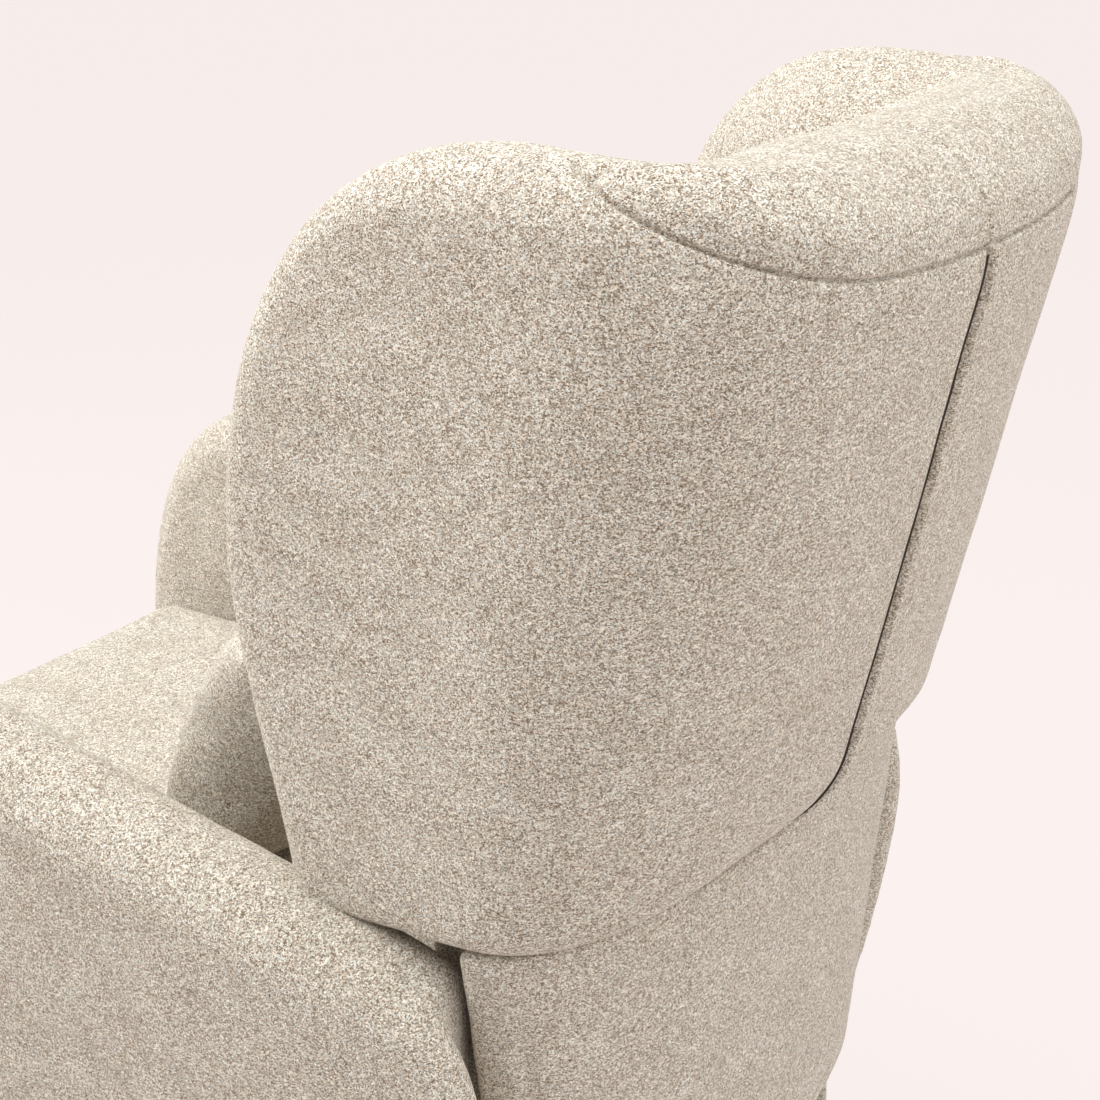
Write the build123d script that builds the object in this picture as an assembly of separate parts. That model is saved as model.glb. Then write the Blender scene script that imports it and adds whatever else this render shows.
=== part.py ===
from build123d import *
import math
import os

os.makedirs("parts", exist_ok=True)

# Reclining swivel glider chair, millimetres. The origin is on the floor under the swivel axis.
# The sitter looks along -Y, +X is the sitter's left, +Z is up.

# Overall upholstery
SEAM_Z = 570.0           # seam between the winged shell and the lower rear panel
CREST_Z = 1060.0         # highest line of the wings and head roll
SHELL_HALF_WIDTH = 302.0  # winged shell at the lower seam
SHELL_TOP_HALF_WIDTH = 291.0
CORNER_Y = 221.0         # where the shell's sides start to round into the rear
CORNER_TOP_Y = 250.0
REAR_DEPTH = 123.0       # how far the rounded rear bulges behind the corner
REAR_TOP_DEPTH = 190.0
WING_FRONT_Y = 44.0
WING_THICKNESS = 88.0
BACK_THICKNESS = 160.0
CORNER_RADIUS = 85.0     # rear corners in plan at the lower seam
CORNER_TOP_RADIUS = 160.0
INNER_CORNER_RADIUS = 70.0
INNER_DEPTH = 84.0       # how far the inner face bulges behind its corners

# Arms
ARM_FRONT_Y = -550.0
ARM_REAR_Y = 206.0
ARM_INNER_X = 257.0
ARM_OUTER_X = 352.0
ARM_TOP_Z = 672.0        # crest of the arm, near the front
ARM_MID_Y = -157.0
ARM_MID_Z = 630.0
ARM_DROOP_Z = 556.0      # top of the arm where it starts to round over the rear end
ARM_DROOP_LENGTH = 110.0
ARM_REAR_Z = 420.0       # where the rounded rear end meets the straight rear edge
ARM_FRONT_RADIUS = 170.0
BODY_BOTTOM_Z = 60.0
ARM_TAPER = 22.0         # inward set of the outer face at the bottom
ARM_EDGE = 34.0
PLY = 18.0               # plywood thickness in the arms

# Seat
SEAT_FRONT_Y = -496.0
SEAT_TOP_Z = 478.0
SEAT_BOTTOM_Z = 316.0
SEAT_REAR_Y = 146.0
SEAT_GAP = 3.0           # clearance between the cushion and its neighbours
RAIL_TOP_Z = 310.0
RAIL_BOTTOM_Z = 240.0
RAIL_THICKNESS = 25.0
SIDE_RAIL_X = 223.0      # inner face of the side rails
REAR_RAIL_Y = 120.0
FRONT_RAIL_Y = -455.0
STRAP_COUNT = 7
STRAP_WIDTH = 50.0
STRAP_THICKNESS = 2.5

# Lower rear
PANEL_BOTTOM_Z = 266.0
PANEL_THICKNESS = 20.0
PANEL_BOTTOM_HALF_WIDTH = 276.0
PANEL_BOTTOM_DEPTH = 112.0
APRON_TOP_Z = 238.0
APRON_START_Y = 152.0
APRON_DEPTH = 160.0
APRON_RADIUS = 120.0
APRON_THICKNESS = 18.0

# Recline hinge
PIVOT_Y = 262.0
PIVOT_Z = 320.0
RAKE = 10.0              # backward lean of the back frame, degrees
HINGE_X = 135.0          # inner face of the hinge brackets
PLATE = 5.0
HINGE_RADIUS = 30.0
PIN_RADIUS = 6.0
RUNNING = 0.05           # radial clearance of a pin in its bore
POST_WIDTH = 30.0
POST_DEPTH = 34.0
POST_LENGTH = 650.0
POST_REAR = -6.0         # rear face of the post, measured from the pivot

# Glide linkage
LINK_LENGTH = 150.0
LINK_UPPER_Z = 215.0
LINK_Y = 110.0
LINK_X = 207.0           # inner face of the links
LINK_WIDTH = 30.0
UPRIGHT_X = 200.0
CHASSIS_PLATE_X = 218.0
BUSH_RADIUS = 9.0

# Swivel base
DISC_RADIUS = 262.0
DISC_BOTTOM_Z = 4.0
DISC_THICKNESS = 10.0
GLIDE_PAD_RADIUS = 18.0
GLIDE_PAD_CIRCLE = 232.0
BEARING_SIDE = 150.0
BEARING_PLATE = 4.0
BALL_RADIUS = 4.0
BALL_CIRCLE = 54.0
BALL_COUNT = 18
KINGPIN_RADIUS = 10.0
BOLT_RADIUS = 4.0
BOLT_HEAD_RADIUS = 6.5

LOWER_PLATE_Z = DISC_BOTTOM_Z + DISC_THICKNESS
RACE_Z = LOWER_PLATE_Z + BEARING_PLATE
UPPER_PLATE_Z = RACE_Z + 2 * (BALL_RADIUS + RUNNING)
GLIDE_BASE_Z = UPPER_PLATE_Z + BEARING_PLATE
LINK_LOWER_Z = LINK_UPPER_Z - LINK_LENGTH

# Lumbar pillow
PILLOW_WIDTH = 430.0
PILLOW_HEIGHT = 200.0
PILLOW_THICKNESS = 100.0
PILLOW_Y = -38.0
PILLOW_LEAN = 26.0

# Release lever, on the sitter's right arm
LEVER_Y = -215.0
LEVER_Z = 276.0
LEVER_SHAFT_RADIUS = 8.0
LEVER_INNER_X = -212.0   # inner end of the lever's shaft
CABLE_RADIUS = 2.5


def block(x0, x1, y0, y1, z0, z1):
    """A box between two corners."""
    size = Box(x1 - x0, y1 - y0, z1 - z0)
    return Pos((x0 + x1) / 2, (y0 + y1) / 2, (z0 + z1) / 2) * size


def upright_cylinder(radius, x, y, z0, z1):
    return Pos(x, y, (z0 + z1) / 2) * Cylinder(radius, z1 - z0)


def cross_cylinder(radius, x0, x1, y, z):
    """A cylinder along X."""
    return Pos((x0 + x1) / 2, y, z) * Rot(0, 90, 0) * Cylinder(radius, x1 - x0)


def mirrored(shape):
    return mirror(shape, about=Plane.YZ)


def plan_face(half_width, corner_y, depth, corner_radius, front_y, z):
    """D-shaped plan: straight sides back to corner_y, then two corner arcs joined by a flatter rear arc."""
    inset = half_width - corner_radius
    rear_radius = (inset ** 2 + depth ** 2 - corner_radius ** 2) / (2 * (depth - corner_radius))
    rear_centre = corner_y + depth - rear_radius
    lean_angle = math.atan2(inset, corner_y - rear_centre)
    join_x = rear_radius * math.sin(lean_angle)
    join_y = rear_centre + rear_radius * math.cos(lean_angle)
    mid_x = inset + corner_radius * math.sin((lean_angle + math.pi / 2) / 2)
    mid_y = corner_y + corner_radius * math.cos((lean_angle + math.pi / 2) / 2)
    return Face(Wire([
        Line((half_width, front_y, z), (half_width, corner_y, z)),
        ThreePointArc((half_width, corner_y, z), (mid_x, mid_y, z), (join_x, join_y, z)),
        ThreePointArc((join_x, join_y, z), (0, corner_y + depth, z), (-join_x, join_y, z)),
        ThreePointArc((-join_x, join_y, z), (-mid_x, mid_y, z), (-half_width, corner_y, z)),
        Line((-half_width, corner_y, z), (-half_width, front_y, z)),
        Line((-half_width, front_y, z), (half_width, front_y, z)),
    ]))


def winged_profile():
    """Side outline of the winged shell, in the YZ plane, wide enough for the whole shell."""
    with BuildSketch(Plane.YZ) as outline:
        with BuildLine():
            front_low = (WING_FRONT_Y + 36, SEAM_Z)
            front_mid = (WING_FRONT_Y, 800)
            top_front = (WING_FRONT_Y + 165, CREST_Z)
            top_rear = (CORNER_TOP_Y + REAR_TOP_DEPTH - 40, CREST_Z - 8)
            rear_end = (CORNER_TOP_Y + REAR_TOP_DEPTH + 40, 1010)
            foot = (CORNER_TOP_Y + REAR_TOP_DEPTH + 40, SEAM_Z)
            Spline(front_low, front_mid, top_front, tangents=((-0.25, 1), (1, 0.06)))
            Line(top_front, top_rear)
            Spline(top_rear, rear_end, tangents=((1, -0.1), (0.3, -1)))
            Line(rear_end, foot)
            Line(foot, front_low)
        make_face()
    return extrude(outline.sketch, amount=400, both=True)


def winged_shell():
    """U-shaped padded shell: rounded rear, two forward wings, open to the front."""
    top = CREST_Z + 5
    outer = loft([
        plan_face(SHELL_HALF_WIDTH, CORNER_Y, REAR_DEPTH, CORNER_RADIUS, 20, SEAM_Z),
        plan_face(SHELL_TOP_HALF_WIDTH, CORNER_TOP_Y, REAR_TOP_DEPTH, CORNER_TOP_RADIUS, 20, top),
    ], ruled=True)
    low_y = CORNER_Y + REAR_DEPTH - BACK_THICKNESS - INNER_DEPTH
    high_y = CORNER_TOP_Y + REAR_TOP_DEPTH - BACK_THICKNESS - INNER_DEPTH
    low_half = SHELL_HALF_WIDTH - WING_THICKNESS
    high_half = SHELL_TOP_HALF_WIDTH - WING_THICKNESS
    inner = loft([
        plan_face(low_half, low_y, INNER_DEPTH, INNER_CORNER_RADIUS, 0, SEAM_Z),
        plan_face(high_half, high_y, INNER_DEPTH, INNER_CORNER_RADIUS, 0, top),
    ], ruled=True)
    return (outer - inner) & winged_profile()


def lean(shape):
    """Puts a piece drawn about the recline pivot at the back's rake."""
    return Pos(0, PIVOT_Y, PIVOT_Z) * Rot(-RAKE, 0, 0) * shape


def back_post():
    x = HINGE_X + 2 * PLATE + 3
    return lean(block(x, x + POST_WIDTH, POST_REAR - POST_DEPTH, POST_REAR, 36, 36 + POST_LENGTH))


def back_rail(z_low, half):
    middle = POST_REAR - POST_DEPTH / 2
    return lean(block(-half, half, middle - 10, middle + 10, z_low, z_low + 60))


def back_webbing():
    """Three elastic straps between the posts."""
    x = HINGE_X + 2 * PLATE + 3
    front = POST_REAR - POST_DEPTH / 2
    straps = [lean(block(-x, x, front, front + STRAP_THICKNESS, z, z + STRAP_WIDTH)) for z in (260, 370, 480)]
    return Compound(children=straps)


def recline_arm():
    """Flat steel arm from the hinge pin up the inner side of the back post."""
    x = HINGE_X + PLATE + 3
    hub = cross_cylinder(HINGE_RADIUS - 4, x, x + PLATE, 0, 0)
    strap = block(x, x + PLATE, POST_REAR - POST_DEPTH, POST_REAR, 0, 230)
    bore = cross_cylinder(PIN_RADIUS + RUNNING, x - 1, x + PLATE + 1, 0, 0)
    return lean(hub + strap - bore)


def lower_pad():
    """Upholstered foot of the back, between the arms, behind the seat cushion."""
    return loft([
        plan_face(246, 200, REAR_DEPTH - 4, 80, 166, SEAM_Z),
        plan_face(240, 196, PANEL_BOTTOM_DEPTH - 10, 70, 166, 372),
    ], ruled=True)


def lower_panel():
    """Curved outside-back panel below the seam, wrapping both rear corners."""
    t = PANEL_THICKNESS
    low_half = PANEL_BOTTOM_HALF_WIDTH
    outer = loft([
        plan_face(SHELL_HALF_WIDTH, CORNER_Y + 1, REAR_DEPTH - 1, CORNER_RADIUS, CORNER_Y, SEAM_Z),
        plan_face(low_half, CORNER_Y + 1, PANEL_BOTTOM_DEPTH, CORNER_RADIUS - 5, CORNER_Y, PANEL_BOTTOM_Z),
    ], ruled=True)
    inner = loft([
        plan_face(SHELL_HALF_WIDTH - t, CORNER_Y + 1, REAR_DEPTH - t, CORNER_RADIUS - t, CORNER_Y, SEAM_Z),
        plan_face(low_half - t, CORNER_Y + 1, PANEL_BOTTOM_DEPTH - t, CORNER_RADIUS - 5 - t, CORNER_Y,
                  PANEL_BOTTOM_Z),
    ], ruled=True)
    return outer - inner


def rear_apron():
    """Fixed rear skirt of the base frame, below the reclining panel."""
    t = APRON_THICKNESS
    outer = plan_face(ARM_INNER_X, APRON_START_Y + 1, APRON_DEPTH, APRON_RADIUS, APRON_START_Y, BODY_BOTTOM_Z)
    inner = plan_face(ARM_INNER_X - t, APRON_START_Y + 1, APRON_DEPTH - t, APRON_RADIUS - t, APRON_START_Y,
                      BODY_BOTTOM_Z)
    height = APRON_TOP_Z - BODY_BOTTOM_Z
    return extrude(outer, amount=height, dir=(0, 0, 1)) - extrude(inner, amount=height, dir=(0, 0, 1))


def zipper():
    """Lapped zipper tape down the centre of the rear, lying on the shell."""
    y_low = CORNER_Y + REAR_DEPTH
    y_high = CORNER_TOP_Y + REAR_TOP_DEPTH
    slope = math.degrees(math.atan2(y_high - y_low, CREST_Z + 5 - SEAM_Z))
    strip = block(6, 18, 0.6, 2.2, 12, 410)
    return Pos(0, y_low, SEAM_Z) * Rot(-slope, 0, 0) * strip


def arm_profile(inset):
    """Side outline of an arm: rounded front, top easing down to the rounded rear. inset shrinks it all round."""
    front = ARM_FRONT_Y + inset
    rear = ARM_REAR_Y - inset
    low = BODY_BOTTOM_Z + inset
    top = ARM_TOP_Z - inset
    radius = ARM_FRONT_RADIUS - inset
    with BuildSketch(Plane.YZ) as outline:
        with BuildLine():
            Line((front, low), (front, top - radius))
            RadiusArc((front, top - radius), (front + radius, top), radius)
            Spline((front + radius, top), (ARM_MID_Y, ARM_MID_Z - inset),
                   (rear - ARM_DROOP_LENGTH, ARM_DROOP_Z - inset), (rear, ARM_REAR_Z),
                   tangents=((1, 0), (-0.02, -1)))
            Line((rear, ARM_REAR_Z), (rear - 30, low))
            Line((rear - 30, low), (front, low))
        make_face()
    return outline.sketch


def arm_frame():
    """Plywood panel inside the left arm."""
    return Pos(ARM_INNER_X + 22, 0, 0) * extrude(arm_profile(22), amount=PLY, dir=(1, 0, 0))


def arm_pad():
    """Padded left arm, its outer face leaning inward towards the floor."""
    body = Pos(ARM_INNER_X, 0, 0) * extrude(arm_profile(0), amount=ARM_OUTER_X - ARM_INNER_X, dir=(1, 0, 0))
    lean_cut = Plane.XZ * make_face(Polyline(
        (ARM_OUTER_X - ARM_TAPER, BODY_BOTTOM_Z - 1), (ARM_OUTER_X, 400), (ARM_OUTER_X + 50, 400),
        (ARM_OUTER_X + 50, BODY_BOTTOM_Z - 1), close=True))
    body = body - extrude(lean_cut, amount=600, both=True)
    rims = body.edges().filter_by(lambda edge: edge.bounding_box().size.X < ARM_TAPER + 1
                                  and edge.bounding_box().max.Z > ARM_REAR_Z)
    return fillet(rims, ARM_EDGE)


def seat_cushion():
    """Crowned seat cushion between the arms."""
    half = ARM_INNER_X - SEAT_GAP
    body = block(-half, half, SEAT_FRONT_Y, SEAT_REAR_Y, SEAT_BOTTOM_Z, SEAT_TOP_Z)
    return fillet(body.edges(), 26)


def lumbar_pillow():
    half = PILLOW_THICKNESS / 2
    body = fillet(Box(PILLOW_WIDTH, PILLOW_THICKNESS, PILLOW_HEIGHT).edges(), half - 10)
    lift = SEAT_TOP_Z + 4 + PILLOW_HEIGHT / 2
    return Pos(0, PILLOW_Y, lift) * Rot(-PILLOW_LEAN, 0, 0) * body


def seat_side_rail():
    x = SIDE_RAIL_X
    return block(x, x + RAIL_THICKNESS, FRONT_RAIL_Y, REAR_RAIL_Y + RAIL_THICKNESS, RAIL_BOTTOM_Z, RAIL_TOP_Z)


def seat_cross_rail(y0):
    """Front or rear rail; the front one spans the ends of the side rails."""
    half = SIDE_RAIL_X + (RAIL_THICKNESS if y0 < 0 else 0)
    return block(-half, half, y0, y0 + RAIL_THICKNESS, RAIL_BOTTOM_Z, RAIL_TOP_Z)


def seat_webbing():
    """Elastic straps stapled across the side rails."""
    half = SIDE_RAIL_X + 20
    first = FRONT_RAIL_Y + 25
    pitch = (REAR_RAIL_Y - 20 - STRAP_WIDTH - first) / (STRAP_COUNT - 1)
    straps = [block(-half, half, first + i * pitch, first + i * pitch + STRAP_WIDTH, RAIL_TOP_Z,
                    RAIL_TOP_Z + STRAP_THICKNESS) for i in range(STRAP_COUNT)]
    return Compound(children=straps)


def chassis_plate():
    """Steel side plate that hangs from the links and carries the seat rails."""
    with BuildSketch(Plane.YZ) as outline:
        Polygon((-LINK_Y - 22, 45), (LINK_Y + 22, 45), (LINK_Y + 22, 110), (LINK_Y + 8, 150), (LINK_Y + 8, 300),
                (-LINK_Y - 60, 300), (-LINK_Y - 60, 200), align=None)
    return Pos(CHASSIS_PLATE_X, 0, 0) * extrude(outline.sketch, amount=PLATE, dir=(1, 0, 0))


def cross_tube(y):
    tube = cross_cylinder(9, -CHASSIS_PLATE_X, CHASSIS_PLATE_X, y, 250)
    return tube - cross_cylinder(7, -CHASSIS_PLATE_X - 1, CHASSIS_PLATE_X + 1, y, 250)


def chassis_bolts():
    """Bolts through both side plates into the seat rails, heads inboard."""
    bolts = []
    for y in (-140, -20, 95):
        head = cross_cylinder(BOLT_HEAD_RADIUS, CHASSIS_PLATE_X - 4, CHASSIS_PLATE_X, y, 282)
        shank = cross_cylinder(BOLT_RADIUS, CHASSIS_PLATE_X, SIDE_RAIL_X + 20, y, 282)
        bolt = head + shank
        bolts += [bolt, mirrored(bolt)]
    return Compound(children=bolts)


def hinge_bracket():
    """Steel bracket on the rear seat rail that holds one recline pin."""
    rear = REAR_RAIL_Y + RAIL_THICKNESS
    with BuildSketch(Plane.YZ) as outline:
        with BuildLine():
            Line((rear, 250), (rear, 306))
            Line((rear, 306), (PIVOT_Y, PIVOT_Z + HINGE_RADIUS))
            ThreePointArc((PIVOT_Y, PIVOT_Z + HINGE_RADIUS), (PIVOT_Y + HINGE_RADIUS, PIVOT_Z),
                          (PIVOT_Y, PIVOT_Z - HINGE_RADIUS))
            Line((PIVOT_Y, PIVOT_Z - HINGE_RADIUS), (rear, 250))
        make_face()
    plate = Pos(HINGE_X, 0, 0) * extrude(outline.sketch, amount=PLATE, dir=(1, 0, 0))
    flange = block(HINGE_X - 40, HINGE_X, rear, rear + PLATE, 250, 306)
    return plate + flange - cross_cylinder(PIN_RADIUS, HINGE_X - 1, HINGE_X + PLATE + 1, PIVOT_Y, PIVOT_Z)


def recline_pin():
    inner = HINGE_X - 4
    outer = HINGE_X + 2 * PLATE + 4
    head = cross_cylinder(PIN_RADIUS + 4, inner, HINGE_X, PIVOT_Y, PIVOT_Z)
    return head + cross_cylinder(PIN_RADIUS, HINGE_X, outer, PIVOT_Y, PIVOT_Z)


def hinge_screws():
    """Screws that fix both bracket flanges to the rear rail."""
    rear = REAR_RAIL_Y + RAIL_THICKNESS
    screws = []
    for x in (HINGE_X - 30, HINGE_X - 12):
        for z in (264, 292):
            head = Pos(x, rear + PLATE + 2, z) * Rot(90, 0, 0) * Cylinder(5, 4)
            shank = Pos(x, rear + PLATE / 2 - 6, z) * Rot(90, 0, 0) * Cylinder(2.5, PLATE + 12)
            screw = head + shank
            screws += [screw, mirrored(screw)]
    return Compound(children=screws)


def front_panel():
    half = ARM_INNER_X - SEAT_GAP
    return block(-half, half, SEAT_FRONT_Y + 6, FRONT_RAIL_Y, BODY_BOTTOM_Z, RAIL_TOP_Z)


def dust_cover():
    half = CHASSIS_PLATE_X - 2
    return block(-half, half, FRONT_RAIL_Y + RAIL_THICKNESS, REAR_RAIL_Y - 2, 235.5, 237)


def link(y):
    """Hanging glide link on the left side, with eyes for the bushes."""
    x0, x1 = LINK_X, LINK_X + PLATE
    body = block(x0, x1, y - LINK_WIDTH / 2, y + LINK_WIDTH / 2, LINK_LOWER_Z, LINK_UPPER_Z)
    for z in (LINK_LOWER_Z, LINK_UPPER_Z):
        body += cross_cylinder(LINK_WIDTH / 2, x0, x1, y, z)
    for z in (LINK_LOWER_Z, LINK_UPPER_Z):
        body -= cross_cylinder(BUSH_RADIUS, x0 - 1, x1 + 1, y, z)
    return body


def link_bushes(y):
    """Nylon bushes pressed into one link's eyes."""
    bushes = []
    for z in (LINK_LOWER_Z, LINK_UPPER_Z):
        ring = cross_cylinder(BUSH_RADIUS, LINK_X, LINK_X + PLATE, y, z)
        bushes.append(ring - cross_cylinder(PIN_RADIUS + RUNNING, LINK_X - 1, LINK_X + PLATE + 1, y, z))
    return Compound(children=bushes)


def upper_pivot_pins():
    """Shouldered pins on the uprights, one for each link."""
    pins = []
    for y in (-LINK_Y, LINK_Y):
        shank = cross_cylinder(PIN_RADIUS, UPRIGHT_X + PLATE, LINK_X + PLATE + 0.5, y, LINK_UPPER_Z)
        head = cross_cylinder(BUSH_RADIUS, LINK_X + PLATE + 0.5, LINK_X + PLATE + 3.5, y, LINK_UPPER_Z)
        pin = shank + head
        pins += [pin, mirrored(pin)]
    return Compound(children=pins)


def lower_pivot_pins():
    """Pins welded to the chassis side plates, one for each link."""
    pins = []
    for y in (-LINK_Y, LINK_Y):
        pin = cross_cylinder(PIN_RADIUS, LINK_X - 1, CHASSIS_PLATE_X, y, LINK_LOWER_Z)
        pins += [pin, mirrored(pin)]
    return Compound(children=pins)


def glide_upright():
    """Steel side of the glide base that the links hang from."""
    with BuildSketch(Plane.YZ) as outline:
        Polygon((-LINK_Y - 22, GLIDE_BASE_Z), (LINK_Y + 22, GLIDE_BASE_Z), (LINK_Y + 22, LINK_UPPER_Z + 14),
                (-LINK_Y - 22, LINK_UPPER_Z + 14), align=None)
    return Pos(UPRIGHT_X, 0, 0) * extrude(outline.sketch, amount=PLATE, dir=(1, 0, 0))


def glide_base_plate():
    plate = block(-UPRIGHT_X, UPRIGHT_X, -90, 90, GLIDE_BASE_Z, GLIDE_BASE_Z + PLATE)
    plate -= upright_cylinder(24, 0, 0, GLIDE_BASE_Z - 1, GLIDE_BASE_Z + PLATE + 1)
    for x, y in corner_points(60):
        plate -= upright_cylinder(BOLT_RADIUS, x, y, GLIDE_BASE_Z - 1, GLIDE_BASE_Z + PLATE + 1)
    return plate


def corner_points(reach):
    return [(sx * reach, sy * reach) for sx in (-1, 1) for sy in (-1, 1)]


def upper_bearing_plate():
    half = BEARING_SIDE / 2
    plate = block(-half, half, -half, half, UPPER_PLATE_Z, UPPER_PLATE_Z + BEARING_PLATE)
    plate -= upright_cylinder(KINGPIN_RADIUS + RUNNING, 0, 0, UPPER_PLATE_Z - 1, GLIDE_BASE_Z + 1)
    for x, y in corner_points(60):
        plate -= upright_cylinder(BOLT_RADIUS, x, y, UPPER_PLATE_Z - 1, GLIDE_BASE_Z + 1)
    return plate


def turntable_bolts():
    """Bolts that clamp the glide base to the upper bearing plate, heads on top."""
    bolts = []
    top = GLIDE_BASE_Z + PLATE
    for x, y in corner_points(60):
        head = upright_cylinder(BOLT_HEAD_RADIUS, x, y, top, top + 5)
        bolts.append(head + upright_cylinder(BOLT_RADIUS, x, y, UPPER_PLATE_Z, top))
    return Compound(children=bolts)


def lower_bearing_plate():
    half = BEARING_SIDE / 2
    plate = block(-half, half, -half, half, LOWER_PLATE_Z, RACE_Z)
    plate -= upright_cylinder(KINGPIN_RADIUS, 0, 0, LOWER_PLATE_Z - 1, RACE_Z + 1)
    for x, y in corner_points(30):
        plate -= upright_cylinder(BOLT_RADIUS, x, y, LOWER_PLATE_Z - 1, RACE_Z + 1)
    return plate


def base_bolts():
    """Countersunk-height bolts from the lower bearing plate into the base disc."""
    bolts = []
    for x, y in corner_points(30):
        head = upright_cylinder(BOLT_HEAD_RADIUS, x, y, RACE_Z, RACE_Z + 3)
        bolts.append(head + upright_cylinder(BOLT_RADIUS, x, y, DISC_BOTTOM_Z + 3, RACE_Z))
    return Compound(children=bolts)


def base_disc():
    disc = upright_cylinder(DISC_RADIUS, 0, 0, DISC_BOTTOM_Z, LOWER_PLATE_Z)
    disc = chamfer(disc.edges().sort_by(Axis.Z)[-1:], 4)
    disc -= upright_cylinder(KINGPIN_RADIUS, 0, 0, DISC_BOTTOM_Z + 2, LOWER_PLATE_Z + 1)
    for x, y in corner_points(30):
        disc -= upright_cylinder(BOLT_RADIUS, x, y, DISC_BOTTOM_Z + 3, LOWER_PLATE_Z + 1)
    return disc


def floor_pads():
    """Non-slip pads under the base disc; the middle one lies under the swivel axis."""
    pads = [upright_cylinder(GLIDE_PAD_RADIUS, 0, 0, 0, DISC_BOTTOM_Z)]
    for i in range(8):
        angle = math.radians(45 * i)
        x = GLIDE_PAD_CIRCLE * math.cos(angle)
        y = GLIDE_PAD_CIRCLE * math.sin(angle)
        pads.append(upright_cylinder(GLIDE_PAD_RADIUS, x, y, 0, DISC_BOTTOM_Z))
    return Compound(children=pads)


def kingpin():
    shank = upright_cylinder(KINGPIN_RADIUS, 0, 0, DISC_BOTTOM_Z + 2, GLIDE_BASE_Z + 0.2)
    return shank + upright_cylinder(17, 0, 0, GLIDE_BASE_Z + 0.2, GLIDE_BASE_Z + 8)


def ball_points():
    middle = RACE_Z + BALL_RADIUS + RUNNING
    turn = 2 * math.pi / BALL_COUNT
    return [(BALL_CIRCLE * math.cos(i * turn + 0.17), BALL_CIRCLE * math.sin(i * turn + 0.17), middle)
            for i in range(BALL_COUNT)]


def bearing_balls():
    return Compound(children=[Pos(*point) * Sphere(BALL_RADIUS) for point in ball_points()])


def ball_cage():
    middle = RACE_Z + BALL_RADIUS + RUNNING
    ring = upright_cylinder(BALL_CIRCLE + 6.5, 0, 0, middle - 1, middle + 1)
    ring -= upright_cylinder(BALL_CIRCLE - 6.5, 0, 0, middle - 2, middle + 2)
    for x, y, _ in ball_points():
        ring -= upright_cylinder(BALL_RADIUS + RUNNING, x, y, middle - 2, middle + 2)
    return ring


def release_lever():
    """Paddle lever and its short shaft through the right arm, turning about X."""
    outer = -ARM_OUTER_X
    shaft = cross_cylinder(LEVER_SHAFT_RADIUS, outer - 10, LEVER_INNER_X, LEVER_Y, LEVER_Z)
    crank = block(LEVER_INNER_X, LEVER_INNER_X + 5, LEVER_Y - 7, LEVER_Y + 20, LEVER_Z - 7, LEVER_Z + 7)
    hub = cross_cylinder(17, outer - 18, outer - 8, LEVER_Y, LEVER_Z)
    paddle = fillet(block(outer - 18, outer - 8, LEVER_Y - 105, LEVER_Y, LEVER_Z - 13, LEVER_Z + 13).edges(), 4)
    return shaft + hub + paddle + crank


def lever_bore():
    """The way for the lever's shaft through the right arm and side rail."""
    radius = LEVER_SHAFT_RADIUS + RUNNING
    return cross_cylinder(radius, -ARM_OUTER_X - 9, LEVER_INNER_X, LEVER_Y, LEVER_Z)


def lever_bezel():
    """Plastic ring around the lever's shaft on the arm's outer face."""
    outer = -ARM_OUTER_X
    ring = cross_cylinder(26, outer - 6, outer + 8, LEVER_Y, LEVER_Z)
    return ring - cross_cylinder(LEVER_SHAFT_RADIUS + RUNNING, outer - 7, outer + 9, LEVER_Y, LEVER_Z)


def cable_run(radius):
    """Straight run from the lever's inner end to the recline lock; also cuts its way through the rear rail."""
    start = Vector(LEVER_INNER_X + 6, LEVER_Y + 24, LEVER_Z - 4)
    finish = Vector(-HINGE_X + 14, PIVOT_Y - 62, PIVOT_Z - 14)
    run = finish - start
    return Plane(origin=start, z_dir=run) * Pos(0, 0, run.length / 2) * Cylinder(radius, run.length)


def recline_lock():
    """Lock housing on the inner face of the right hinge bracket."""
    body = block(-HINGE_X, -HINGE_X + 26, PIVOT_Y - 62, PIVOT_Y - 32, PIVOT_Z - 30, PIVOT_Z + 4)
    return fillet(body.edges(), 3)


def save(name, shape):
    export_step(shape, os.path.join("parts", name + ".step"))


def make_base():
    save("base_disc", base_disc())
    save("floor_pads", floor_pads())
    save("lower_bearing_plate", lower_bearing_plate())
    save("base_bolts", base_bolts())
    save("kingpin", kingpin())
    save("bearing_balls", bearing_balls())
    save("ball_cage", ball_cage())


def make_glide_base():
    save("upper_bearing_plate", upper_bearing_plate())
    save("turntable_bolts", turntable_bolts())
    save("glide_base_plate", glide_base_plate())
    save("glide_upright_left", glide_upright())
    save("glide_upright_right", mirrored(glide_upright()))
    save("upper_pivot_pins", upper_pivot_pins())


def make_links():
    for end, y in (("front", -LINK_Y), ("rear", LINK_Y)):
        save(f"link_{end}_left", link(y))
        save(f"link_{end}_right", mirrored(link(y)))
        save(f"bushes_{end}_left", link_bushes(y))
        save(f"bushes_{end}_right", mirrored(link_bushes(y)))


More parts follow.
